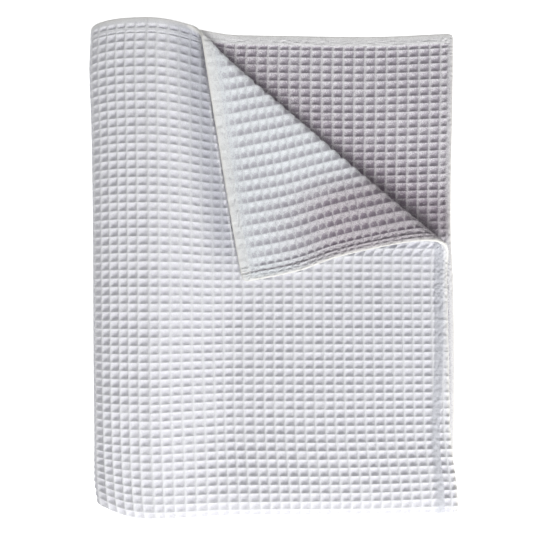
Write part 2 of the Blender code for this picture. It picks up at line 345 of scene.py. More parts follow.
    def roll_sections(self) -> dict[str, Array]:
        """Works out upright sections of the folded pair of layers.

        Returns:
            Place and outward direction, on an even net of distances and shares of the run.
        """
        distance = np.linspace(0.0, self.flat_length / 2.0, self.section_count)[:, None]
        low = self.thickness / 2.0 + self.under_opening(distance)
        edge, inset = ROLL.read("edge", distance), ROLL.read("inset", distance)
        crown = self.upper_height(np.array([[self.crown_across]]), distance)
        angle = np.linspace(math.pi / 2.0, 0.0, self.quarter_steps + 1)[None, :]
        rising = angle[:, ::-1][:, 1:]
        level = np.linspace(self.crown_across, self.folded_width, self.level_steps + 1)[None, 1:]
        across = np.concatenate((
            np.full_like(distance, self.folded_width),
            inset + (self.under_across - inset) * self.drawn_away(angle),
            inset + (self.crown_across - inset) * self.drawn_away(rising),
            np.broadcast_to(level, (len(distance), self.level_steps)),
        ), axis=1)
        height = np.concatenate((
            low,
            edge - (edge - low) * np.sin(angle),
            edge + (crown - edge) * np.sin(rising),
            self.upper_height(level, distance),
        ), axis=1)
        steps = np.hypot(np.diff(across, axis=1), np.diff(height, axis=1))
        run = np.concatenate((np.zeros_like(distance), np.cumsum(steps, axis=1)), axis=1)
        shares = np.linspace(0.0, 1.0, self.run_count)
        even_across, even_height = (
            np.array([np.interp(shares * r[-1], r, line) for r, line in zip(run, lines)])
            for lines in (across, height)
        )
        slope_across = np.gradient(even_across, axis=1)
        slope_height = np.gradient(even_height, axis=1)
        size = np.hypot(slope_across, slope_height)
        return {
            "across": even_across,
            "height": even_height,
            "out_across": -slope_height / size,
            "out_height": slope_across / size,
        }

    def in_section(self, name: str, panel_across: Array, distance: Array) -> Array:
        """Reads the upright sections at points of the flat panel.

        Args:
            name: the measure to read.
            panel_across: distance across the flat panel from its middle.
            distance: distance along it from the bottom fold.

        Returns:
            The measure, evenly blended between the sections' own points.
        """
        values = self.sections[name]
        row = np.clip(distance / (self.flat_length / 2.0), 0.0, 1.0) * (self.section_count - 1)
        place = np.clip(panel_across / self.flat_width + 0.5, 0.0, 1.0) * (self.run_count - 1)
        i = np.minimum(row.astype(int), self.section_count - 2)
        j = np.minimum(place.astype(int), self.run_count - 2)
        a, b = row - i, place - j
        near = values[i, j] * (1.0 - b) + values[i, j + 1] * b
        far = values[i + 1, j] * (1.0 - b) + values[i + 1, j + 1] * b
        return near * (1.0 - a) + far * a

    def rounded(
        self, across: Array, along: Array
    ) -> tuple[Array, Array]:
        """Rounds the flat panel's four corners.

        Args:
            across: distance across the flat panel from its middle.
            along: distance along it from its middle.

        Returns:
            Both distances for the same points of the rounded panel.
        """
        half_width, half_length = self.flat_width / 2.0, self.flat_length / 2.0
        size = self.corner_rounding
        reach_across = np.clip((np.abs(across) - half_width + size) / size, 0.0, 1.0)
        reach_along = np.clip((np.abs(along) - half_length + size) / size, 0.0, 1.0)
        drawn_across = reach_across * np.sqrt(1.0 - reach_along ** 2 / 2.0)
        drawn_along = reach_along * np.sqrt(1.0 - reach_across ** 2 / 2.0)
        corner = (reach_across > 0.0) & (reach_along > 0.0)
        new_across = np.copysign(half_width - size * (1.0 - drawn_across), across)
        new_along = np.copysign(half_length - size * (1.0 - drawn_along), along)
        return np.where(corner, new_across, across), np.where(corner, new_along, along)

    def folded(self, across: Array, along: Array) -> Array:
        """Folds points of the flat panel at the bottom and at the left.

        Args:
            across: distance across the flat panel from its middle.
            along: distance along it from its middle, where positive goes to the outer layers.

        Returns:
            The folded points, the last axis being across, along and height.
        """
        across, along = self.rounded(across, along)
        distance, outer = np.abs(along), along >= 0.0
        radius = PANEL.read("radius", across)
        reach = np.where(outer, PANEL.read("reach", across), radius)
        rise = np.where(outer, PANEL.read("rise", across), radius)
        settling = np.where(outer, PANEL.read("settling", across), self.fold_taper)
        folded_along, spread = self.bottom_fold(distance, reach, rise, settling)
        signed = np.where(outer, spread, -spread)
        places = [
            self.in_section(name, across, distance)
            + signed * self.in_section("out_" + name, across, distance)
            for name in ("across", "height")
        ]
        outer_hem, inner_hem = PANEL.read("outer_hem", across), PANEL.read("inner_hem", across)
        joined = 1.0 - smooth(distance / self.fold_taper)
        hem = np.where(outer, outer_hem, inner_hem)
        hem = hem + ((outer_hem + inner_hem) / 2.0 - hem) * joined
        whole = np.full_like(distance, self.flat_length / 2.0)
        full = self.bottom_fold(whole, reach, rise, settling)[0]
        folded_along = folded_along * hem / full
        pulled = 1.0 - smooth(distance / self.pull_reach)
        folded_along = folded_along + PANEL.read("pull", across) * pulled
        right = across >= 0.0
        out_outer = np.where(right, SIDES.read("top", distance), SIDES.read("bottom", distance))
        out_inner = np.where(right, SIDES.read("second", distance), SIDES.read("third", distance))
        out = np.where(outer, out_outer, out_inner)
        out = out + ((out_outer + out_inner) / 2.0 - out) * joined
        folded_across = places[0] + out * (np.abs(across) / (self.flat_width / 2.0)) ** 2
        return np.stack((folded_across, folded_along, places[1]), axis=-1)

    def crease_bend(
        self, bent: Array, reach: Array
    ) -> tuple[Array, Array, Array]:
        """Follows the crease's half turn up and back, for a rise of 1.

        Args:
            bent: length of cloth from where the bend starts.
            reach: how far the bend stands out.

        Returns:
            The bend's whole length, and how far out and how high the cloth is at the length.
        """
        angles = np.linspace(0.0, math.pi, self.shoulder_steps + 1)
        shapes = np.linspace(*self.crease_shapes)
        place = np.clip((reach - shapes[0]) / (shapes[-1] - shapes[0]), 0.0, 1.0) * (len(shapes) - 1)
        below = np.minimum(place.astype(int), len(shapes) - 2)
        share = place - below
        found = [np.zeros_like(bent) for _ in range(3)]
        for i, shape in enumerate(shapes):
            weight = np.where(below == i, 1.0 - share, 0.0) + np.where(below == i - 1, share, 0.0)
            out, risen = shape * np.sin(angles), 1.0 - np.cos(angles)
            run = np.concatenate(([0.0], np.cumsum(np.hypot(np.diff(out), np.diff(risen)))))
            values = (run[-1], np.interp(bent, run, out), np.interp(bent, run, risen))
            found = [total + weight * value for total, value in zip(found, values)]
        return found[0], found[1], found[2]

    def beyond_crease(self, folded: Array) -> Array:
        """How far folded points lie outward of the slanting crease, seen from above."""
        top, _, outward = self.crease_axes()
        return (folded[..., :2] - top) @ outward

    def turned(self, folded: Array) -> Array:
        """Turns the corner of the top layer back over the slanting crease.

        Args:
            folded: points of the top layer, folded but not yet turned back.

        Returns:
            The same points once the corner lies back on the top layer.
        """
        top, down, outward = self.crease_axes()
        slid = (folded[..., :2] - top) @ down
        beyond = self.beyond_crease(folded)
        rise, reach = CREASE.read("rise", slid), CREASE.read("reach", slid)
        bent = beyond + reach * rise
        length, out, risen = self.crease_bend(bent / rise, reach)
        over = np.maximum(bent - length * rise, 0.0)
        turned_beyond = (out - reach) * rise - over
        settled = self.layer_pitch + self.flap_lift
        lift = risen * rise
        laid = settled + (2.0 * rise - settled) * (1.0 - smooth(over / self.flap_taper))
        lift = np.where(over > 0.0, laid, lift)
        flat = top + slid[..., None] * down + turned_beyond[..., None] * outward
        height = folded[..., 2] + lift + self.top_height(flat[..., 0], flat[..., 1])
        height = height - self.top_height(folded[..., 0], folded[..., 1])
        turned = np.concatenate((flat, height[..., None]), axis=-1)
        return np.where((bent > 0.0)[..., None], turned, folded)

    def margins(self, folded: Array) -> tuple[Array, Array]:
        """How far a point's mirror image over the crease lies inside the turned-back corner's hems.

        Args:
            folded: points of the top layer, folded but not yet turned back.

        Returns:
            The distances to its side hem and to its top hem, negative beyond them.
        """
        mirrored = folded[..., :2] - 2.0 * self.beyond_crease(folded)[..., None] * self.crease_axes()[2]
        hem_across = self.folded_width + SIDES.read("top", mirrored[..., 1])
        hem_along = PANEL.read("outer_hem", mirrored[..., 0])
        return hem_across - mirrored[..., 0], hem_along - mirrored[..., 1]

    def cover(self, folded: Array) -> Array:
        """How far inside both hems of the turned-back corner a point's mirror image is."""
        return np.minimum(*self.margins(folded))

    def origin(self) -> Array:
        """Finds where the folding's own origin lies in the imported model's frame.

        Returns:
            The place that brings the folded panel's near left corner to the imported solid's.
        """
        columns, rows = self.probe_counts
        across = np.linspace(-self.flat_width / 2.0, self.flat_width / 2.0, columns)[None, :]
        along = np.linspace(self.probe_start, self.flat_length / 2.0, rows)[:, None]
        grid = np.broadcast_arrays(across, along)
        lowest = self.folded(*grid).reshape(-1, 3).min(axis=0)
        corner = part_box(NODE)[0]
        half = self.thickness / 2.0
        return np.array((corner.x + half - lowest[0], corner.y + half - lowest[1], 0.0))


class Side(Enum):
    """The two faces of the cloth: the front is outermost, the back shows where it is turned."""

    FRONT = 0
    BACK = 1


COLUMNS = Table(
    ("rib", "front", "turned", "second"),
    (
        (-37.70, -0.3810, -0.3810, -0.3810),
        (-37.00, -0.3740, -0.3740, -0.3740),
        (-2.00, -0.0008, -0.0008, -0.0264),
        (-1.00, 0.0088, 0.0088, -0.0153),
        (0.00, 0.0180, 0.0180, -0.0042),
        (1.00, 0.0271, 0.0271, 0.0069),
        (2.00, 0.0364, 0.0364, 0.0180),
        (3.00, 0.0454, 0.0454, 0.0291),
        (4.00, 0.0551, 0.0551, 0.0402),
        (5.00, 0.0658, 0.0658, 0.0513),
        (6.00, 0.0751, 0.0751, 0.0624),
        (7.00, 0.0853, 0.0853, 0.0735),
        (8.00, 0.0961, 0.0961, 0.0846),
        (9.00, 0.1074, 0.1074, 0.0957),
        (10.00, 0.1190, 0.1183, 0.1068),
        (11.00, 0.1309, 0.1288, 0.1179),
        (12.00, 0.1418, 0.1388, 0.1290),
        (13.00, 0.1536, 0.1485, 0.1401),
        (14.00, 0.1641, 0.1599, 0.1512),
        (15.00, 0.1755, 0.1712, 0.1623),
        (16.00, 0.1858, 0.1826, 0.1734),
        (32.00, 0.3529, 0.3643, 0.3510),
        (33.00, 0.3633, 0.3705, 0.3621),
        (34.00, 0.3738, 0.3762, 0.3732),
        (34.73, 0.3810, 0.3810, 0.3810),
    ),
)
ROWS = Table(
    ("rib", "along"),
    (
        (-61.50, -0.5080),
        (-61.00, -0.5030),
        (-60.00, -0.4963),
        (-59.00, -0.4886),
        (-58.00, -0.4806),
        (57.00, 0.4836),
        (58.00, 0.4917),
        (59.00, 0.4965),
        (60.00, 0.5018),
        (60.50, 0.5080),
    ),
)


@dataclass(frozen=True)
class Relief:
    """Ribs and pits on one face of the waffle weave, with its flatter hems."""

    side: Side
    peak: float
    depth: float
    ridge: float = 0.10
    corner_power: float = 4.0
    dish_power: float = 1.8
    uneven: float = 0.12
    least_and_most: Pair = (0.65, 1.12)
    rib_least: float = 0.001
    top_hem: float = 0.0105
    top_fade: float = 0.012
    top_least: float = 0.16
    top_roughness: float = 0.7
    side_hem: float = 0.0115
    side_share: float = 0.4
    side_rim: float = 0.0036
    side_fade: float = 0.002
    hem_width: float = 0.009
    hem_raise: float = 0.0003
    hem_fade: float = 0.003
    rough_fade: float = 0.004
    front_hem: float = 0.0130
    front_least: float = 0.10
    dash_place: float = 0.0089
    dash_reach: float = 0.0018
    dash_depth: float = 0.75
    groove_place: float = 0.0090
    groove_reach: float = 0.0009
    groove_depth: float = 0.0004
    seam_place: float = 0.0101
    seam_moved: float = 0.0085
    seam_reach: float = 0.0038
    seam_fade: float = 0.0016
    seam_share: float = 0.78
    edge_place: float = 0.0050
    edge_fade: float = 0.0015
    low_from_top: float = 0.30
    low_reach: float = 0.18
    rim_round: float = 0.0018
    rim_least: float = 0.12
    table_size: int = 509
    fuzz_spots: float = 8.0
    fuzz_height: float = 0.00005
    fuzz_at_seam: float = 0.00026

    def count_shift(self) -> float:
        """Share of a cell by which this face's ribs lie away from the front's."""
        return 0.5 * self.side.value

    def low(self, to_top: Array) -> Array:
        """How near a point is to the bottom fold, from 0 to 1."""
        return past(to_top, self.low_from_top, self.low_reach)

    def seam(self, to_side: Array, to_top: Array) -> Array:
        """Where the side hem is stitched down, further in towards the bottom fold, from 0 to 1."""
        middle = self.seam_place + self.seam_moved * self.low(to_top)
        return 1.0 - past(np.abs(to_side - middle), self.seam_reach, self.seam_fade)

    def front_hems(
        self, to_side: Array, to_top: Array
    ) -> tuple[Array, Array]:
        """How deep the front's pits are, and how rough the cloth is, as the hems leave them.
        Args:
            to_side: distance to the nearest side hem.
            to_top: distance to the nearest top hem.

        Returns:
            The share of its depth that a pit keeps, and the roughness, from 0 to 1.
        """
        shallow = past(to_top, self.front_hem, self.hem_fade)
        shallow = self.front_least + (1.0 - self.front_least) * shallow
        shallow = shallow + self.dash_depth * bell(to_top, self.dash_place, self.dash_reach)
        seam = self.seam(to_side, to_top)
        edge = 1.0 - past(to_side, self.edge_place, self.edge_fade)
        flat = np.maximum(seam, edge * (1.0 - self.low(to_top)))
        return shallow * (1.0 - self.seam_share * flat), np.maximum(seam, edge)

    def back_hems(self, to_side: Array, to_top: Array) -> tuple[Array, Array]:
        """How deep the back's pits are, and how rough the cloth is, as the hems leave them.
        Args:
            to_side: distance to the nearest side hem.
            to_top: distance to the nearest top hem.

        Returns:
            The share of its depth that a pit keeps, and the roughness, from 0 to 1.
        """
        shallow = past(to_top, self.top_hem, self.top_fade)
        shallow = self.top_least + (1.0 - self.top_least) * shallow
        seam = 1.0 - past(to_side, self.side_hem, self.side_fade)
        shallow = shallow * (1.0 - self.side_share * seam)
        rough = self.top_roughness * (1.0 - past(to_top, self.top_hem, self.rough_fade))
        return shallow * past(to_side, self.side_rim, self.side_fade), np.maximum(seam, rough)

    def height(
        self,
        ribs: tuple[Array, Array],
        hems: tuple[Array, Array],
        chance: np.random.Generator,
    ) -> tuple[Array, Array]:
        """Height of the face above the cloth's middle.

        Args:
            ribs: counts of ribs across and along at each point.
            hems: distances to the nearest side hem and to the nearest top hem.
            chance: seeded source of the weave's unevenness.

        Returns:
            The heights, and how much painted pit shade each point gets, from 0 to 1.
        """
        front = self.side is Side.FRONT
        across, along = (count + self.count_shift() for count in ribs)
        from_ribs = [
            np.maximum(2.0 * np.abs(count - np.round(count)), self.rib_least)
            for count in (across, along)
        ]
        power = self.corner_power
        inside = sum(value ** -power for value in from_ribs) ** (-1.0 / power)
        inside = inside * 2.0 ** (1.0 / power)
        wall = np.clip((inside - self.ridge) / (1.0 - self.ridge), 0.0, 1.0)
        size = self.table_size
        depths = np.clip(chance.normal(1.0, self.uneven, (size, size)), *self.least_and_most)
        depth = depths[np.floor(along).astype(int) % size, np.floor(across).astype(int) % size]
        pit = (1.0 - (1.0 - wall) ** self.dish_power) * depth
        shallow, rough = (self.front_hems if front else self.back_hems)(*hems)
        fuzz = chance.normal(0.0, 1.0, (size, size))
        fuzz = (fuzz + np.roll(fuzz, 1, 0) + np.roll(fuzz, 1, 1) + np.roll(fuzz, 1, (0, 1))) / 2.0
        spots = [np.round(count * self.fuzz_spots).astype(int) % size for count in (along, across)]
        to_hem = np.minimum(*hems)
        height = self.peak - self.depth * pit * shallow
        height = height + self.hem_raise * (1.0 - past(to_hem, self.hem_width, self.hem_fade))
        if not front:
            height = height - self.groove_depth * bell(hems[0], self.groove_place, self.groove_reach)
        height = height + fuzz[spots[0], spots[1]] * (self.fuzz_height + self.fuzz_at_seam * rough)
        rim = np.clip(to_hem / self.rim_round, 0.0, 1.0)
        rounding = np.sqrt(np.maximum(1.0 - (1.0 - rim) ** 2, self.rim_least ** 2))
        return height * rounding, (pit if front else depth) * shallow


SocketValue = Union["Signal", bpy.types.NodeSocket, float, Sequence[float]]


class Graph:
    """Node graph of one material, with one method that adds every node."""

    def __init__(self, name: str) -> None:
        """Starts an empty graph in a new material."""
        self.material = bpy.data.materials.new(name)
        self.material.use_nodes = True
        self.tree = self.material.node_tree
        self.tree.nodes.clear()

    def node(
        self,
        kind: str,
        settings: Optional[Mapping[str, object]] = None,
        inputs: Optional[Mapping[Union[str, int], SocketValue]] = None,
    ) -> bpy.types.Node:
        """Adds a node.

        Args:
            kind: the node's type.
            settings: its own settings, set first.
            inputs: values or links for its sockets.

        Returns:
            The new node.
        """
        made = self.tree.nodes.new(kind)
        for name, value in (settings or {}).items():
            setattr(made, name, value)
        for key, value in (inputs or {}).items():
            if isinstance(value, Signal):
                value = value.socket
            if isinstance(value, bpy.types.NodeSocket):
                self.tree.links.new(value, made.inputs[key])
            else:
                made.inputs[key].default_value = value
        return made

    def signal(self, kind: str, output: Union[str, int] = 0, **given: Mapping) -> "Signal":
        """Adds a node and gives one of its outputs as a signal."""
        return Signal(self, self.node(kind, **given).outputs[output])

    def attribute(self, name: str) -> "Signal":
        """Adds a node that reads one of the mesh's own point values."""
        return self.signal("ShaderNodeAttribute", "Fac", settings={"attribute_name": name})

    def blend(self, share: SocketValue, start: SocketValue, end: SocketValue) -> bpy.types.NodeSocket:
        """Mixes two colours, given as sockets or as red, green and blue, by a share."""
        start, end = ((*tint, 1.0) if isinstance(tint, tuple) else tint for tint in (start, end))
        return self.node("ShaderNodeMix", {"data_type": "RGBA"}, {0: share, 6: start, 7: end}).outputs[2]


@dataclass(frozen=True)
class Signal:
    """A value in a graph, for which the usual operators add Math nodes."""

    graph: Graph
    socket: bpy.types.NodeSocket

    def math(self, operation: str, *values: SocketValue) -> "Signal":
        """Adds one Math node over some values."""
        inputs = dict(enumerate(values))
        return self.graph.signal("ShaderNodeMath", settings={"operation": operation}, inputs=inputs)

    def __add__(self, other: SocketValue) -> "Signal":
        """This plus another."""
        return self.math("ADD", self, other)

    def __sub__(self, other: SocketValue) -> "Signal":
        """This minus another."""
        return self.math("SUBTRACT", self, other)

    def __rsub__(self, other: SocketValue) -> "Signal":
        """Another minus this."""
        return self.math("SUBTRACT", other, self)

    def __mul__(self, other: SocketValue) -> "Signal":
        """This times another."""
        return self.math("MULTIPLY", self, other)

    __radd__ = __add__
    __rmul__ = __mul__

    def less(self, other: SocketValue) -> "Signal":
        """1 where this is less than another, else 0."""
        return self.math("LESS_THAN", self, other)

    def ramp(self, start: float, end: float) -> "Signal":
        """Rises softly from 0 to 1 as this goes from a start to an end."""
        return self.graph.signal(
            "ShaderNodeMapRange", settings={"interpolation_type": "SMOOTHSTEP"},
            inputs={0: self, 1: start, 2: end},
        )

    def from_rib(self) -> "Signal":
        """How far a count is from a whole rib, from 0 on it to 1 midway."""
        return self.math("PINGPONG", self, 0.5) * 2.0


@dataclass(frozen=True)
class PitShape:
    """Where the painted shade in a cell on the back lies, in shares of the cell."""

    middle: Pair
    reach: Pair
    softness: float
    starts: Pair = (-0.2, -0.2)
    ends: Pair = (1.2, 1.2)
    edge: float = 0.08

    def amount(self, across: Signal, along: Signal) -> Signal:
        """Works out how much painted shade a point of the cell gets.

        Args:
            across: count of ribs across.
            along: count of ribs along.

        Returns:
            The painted shade, from 0 to 1.
        """
        far, held = 0.0, 1.0
        for axis, count in enumerate((across, along)):
            share = count.math("FRACT", count)
            gone = (share - self.middle[axis]) * (1.0 / self.reach[axis])
            far = gone * gone + far
            begun = share.ramp(self.starts[axis] - self.edge, self.starts[axis] + self.edge)
            held = begun * (1.0 - share.ramp(self.ends[axis] - self.edge, self.ends[axis])) * held
        distance = far.math("SQRT", far)
        return held * (1.0 - distance.ramp(1.0 - self.softness, 1.0 + self.softness))


# Shapes of the painted pit shade on the turned corner's back and on the second layer.
TURNED_PITS = PitShape(
    middle=(0.92, 0.5), reach=(0.49, 0.46), softness=0.20, ends=(0.97, 1.2), edge=0.06
)
SECOND_PITS = PitShape(
    middle=(0.88, 0.92), reach=(0.74, 0.84), softness=0.46, starts=(0.12, -0.2), ends=(0.96, 0.99)
)


@dataclass(frozen=True)
class WaffleCotton:
    """White cotton in a waffle weave: light ribs, painted shade in its pits and under the folds, and fine
    uneven threads.
    """

    name: str
    back_pits: PitShape
    # On the back: the ribs' colour, and the pits' colour, which is painted shade in the pits.
    light_back: Triple
    pit_back: Triple
    # On the front: the ribs' colour, and the pits' colour, which is painted shade in the pits.
    light: Triple = (0.85, 0.858, 0.88)
    pit_front: Triple = (0.74, 0.735, 0.79)
    shaded_light: Triple = (0.64, 0.605, 0.63)
    shaded_pit: Triple = (0.30, 0.25, 0.305)
    shaded_front: Triple = (0.60, 0.615, 0.665)
    shaded_front_pit: Triple = (0.50, 0.50, 0.56)
    # Colour of the stitch lines, and of the painted deep shade that shares their mark.
    stitch: Triple = (0.30, 0.27, 0.30)
    # Lighter cream at the hem edges and the back's top hem band: a cream tint and painted highlight.
    rim: Triple = (0.90, 0.89, 0.85)
    rib_width: float = 0.18
    front_threads: Pair = (0.65, 0.7)
    back_threads: Pair = (0.85, 0.35)
    stitch_least: float = 0.3
    roughness: float = 0.95
    specular: float = 0.2
    sheen: float = 0.15
    sheen_roughness: float = 0.6
    across_threads: float = 11.0
    along_threads: float = 9.0
    thread_length: float = 0.28
    thread_height: float = 0.00035
    fuzz_scale: float = 850.0
    fuzz_height: float = 0.00028
    speckle: float = 3.2
    speckle_least: float = 0.46

    def threads(self, graph: Graph, across: Signal, along: Signal) -> Signal:
        """Makes uneven threads that run up the side walls of a pit and across its end walls.

        Args:
            graph: the material's graph.
            across: count of ribs across.
            along: count of ribs along.

        Returns:
            The threads' unevenness, from 0 to 1.
        """
        shares = ((1.0, self.thread_length), (self.thread_length, 1.0))
        lines = []
        for share_across, share_along in shares:
            place = graph.node("ShaderNodeCombineXYZ", inputs={
                0: across * (self.across_threads * share_across),
                1: along * (self.along_threads * share_along),
            })
            lines.append(graph.signal("ShaderNodeTexNoise", inputs={
                "Vector": place.outputs[0], "Scale": 1.0, "Detail": 2.0, "Roughness": 0.6,
            }))
        side_wall = across.from_rib().less(along.from_rib())
        return lines[0] * side_wall + lines[1] * (1.0 - side_wall)

    def across_ribs(self, across: Signal) -> Signal:
        """0 along the ribs that run from the bottom fold to the top hems, 1 away from them."""
        share = across.from_rib() * (1.0 / self.rib_width)
        return share.math("MINIMUM", share, 1.0)

    def colour(
        self, graph: Graph, across: Signal, along: Signal, threads: Signal, fuzz: Signal
    ) -> bpy.types.NodeSocket:
        """Mixes the cloth's colour from light ribs, painted shade in the pits and under the folds,
        stitches that share their mark with painted deep shade, and lighter cream rims with a painted
        highlight.

        Args:
            graph: the material's graph.
            across: count of ribs across.
            along: count of ribs along.
            threads: the uneven threads.
            fuzz: the fine noise.

        Returns:
            The colour's socket.
        """
        names = ("pit", "back", "shade", "rim", "stitch")
        pit, back, shade, rim, stitch = (graph.attribute(name) for name in names)
        base, share = self.front_threads
        # Painted shade in the pits: the front keeps its ribs light, the back follows the pit shape.
        front_amount = pit * (base + share * threads) * self.across_ribs(across)
        base, share = self.back_threads
        back_amount = pit * (base + share * threads) * self.back_pits.amount(across, along)
        amount = front_amount * (1.0 - back) + back_amount * back
        amount = amount + (fuzz - self.speckle_least) * self.speckle
        faces = (
            (self.pit_front, self.pit_back), (self.shaded_front_pit, self.shaded_pit),
            (self.light, self.light_back), (self.shaded_front, self.shaded_light),
        )
        pit_colour, dark_pit, light, dark_light = (graph.blend(back, *face) for face in faces)
        pit_colour = graph.blend(shade, pit_colour, dark_pit)
        colour = graph.blend(amount, graph.blend(shade, light, dark_light), pit_colour)
        # Stitch lines, and the painted deep shade that shares their mark.
        colour = graph.blend(stitch * (self.stitch_least + threads), colour, self.stitch)
        # Lighter cream at the hem edges and the back's top hem band: a cream tint and painted highlight.
        return graph.blend(rim, colour, self.rim)

    def material(self) -> bpy.types.Material:
        """Makes the finish's material.

        Returns:
            A material that follows the panel's own count of ribs.
        """
        graph = Graph(self.name)
        ribs = graph.node("ShaderNodeUVMap", {"uv_map": "ribs"})
        parts = graph.node("ShaderNodeSeparateXYZ", inputs={0: ribs.outputs[0]})
        across, along = Signal(graph, parts.outputs[0]), Signal(graph, parts.outputs[1])
        threads = self.threads(graph, across, along)
        place = graph.node("ShaderNodeTexCoord")
        fuzz = graph.signal("ShaderNodeTexNoise", inputs={
            "Vector": place.outputs["Object"], "Scale": self.fuzz_scale, "Detail": 1.0,
        })
        height = threads * self.thread_height + fuzz * self.fuzz_height
        bump = graph.node("ShaderNodeBump", inputs={
            "Strength": 1.0, "Distance": 1.0, "Height": height,
        })
        shader = graph.node("ShaderNodeBsdfPrincipled", inputs={
            "Base Color": self.colour(graph, across, along, threads, fuzz),
            "Roughness": self.roughness, "Normal": bump.outputs[0],
            "Specular IOR Level": self.specular, "Sheen Weight": self.sheen,
            "Sheen Roughness": self.sheen_roughness,
        })
        graph.node("ShaderNodeOutputMaterial", inputs={0: shader.outputs[0]})
        return graph.material


# Edges within each half cell: from a front rib to the middle of its pit, then to the next rib.
FRONT_STEPS = ((0.0, 0.06, 0.17, 0.33), (0.0, 0.17, 0.33, 0.44))
BACK_STEPS = ((0.0, 0.17, 0.33, 0.44), (0.0, 0.06, 0.17, 0.33))
BOTH_STEPS = ((0.0, 0.07, 0.25, 0.43), (0.0, 0.07, 0.25, 0.43))
PLAIN_STEPS = ((0.0, 0.2), (0.0, 0.3))


def read(items: bpy.types.bpy_prop_collection, name: str, size: int, kind: type) -> Array:
    """Reads one value of every item of a mesh.

    Args:
        items: the mesh's vertices, edges, faces or corners.
        name: the value's name.
        size: how many numbers each value has.
        kind: the kind of the numbers.

    Returns:
        The values, with a row for every item.
    """
    values = np.zeros(len(items) * size, kind)
    items.foreach_get(name, values)
    return values.reshape(-1, size)


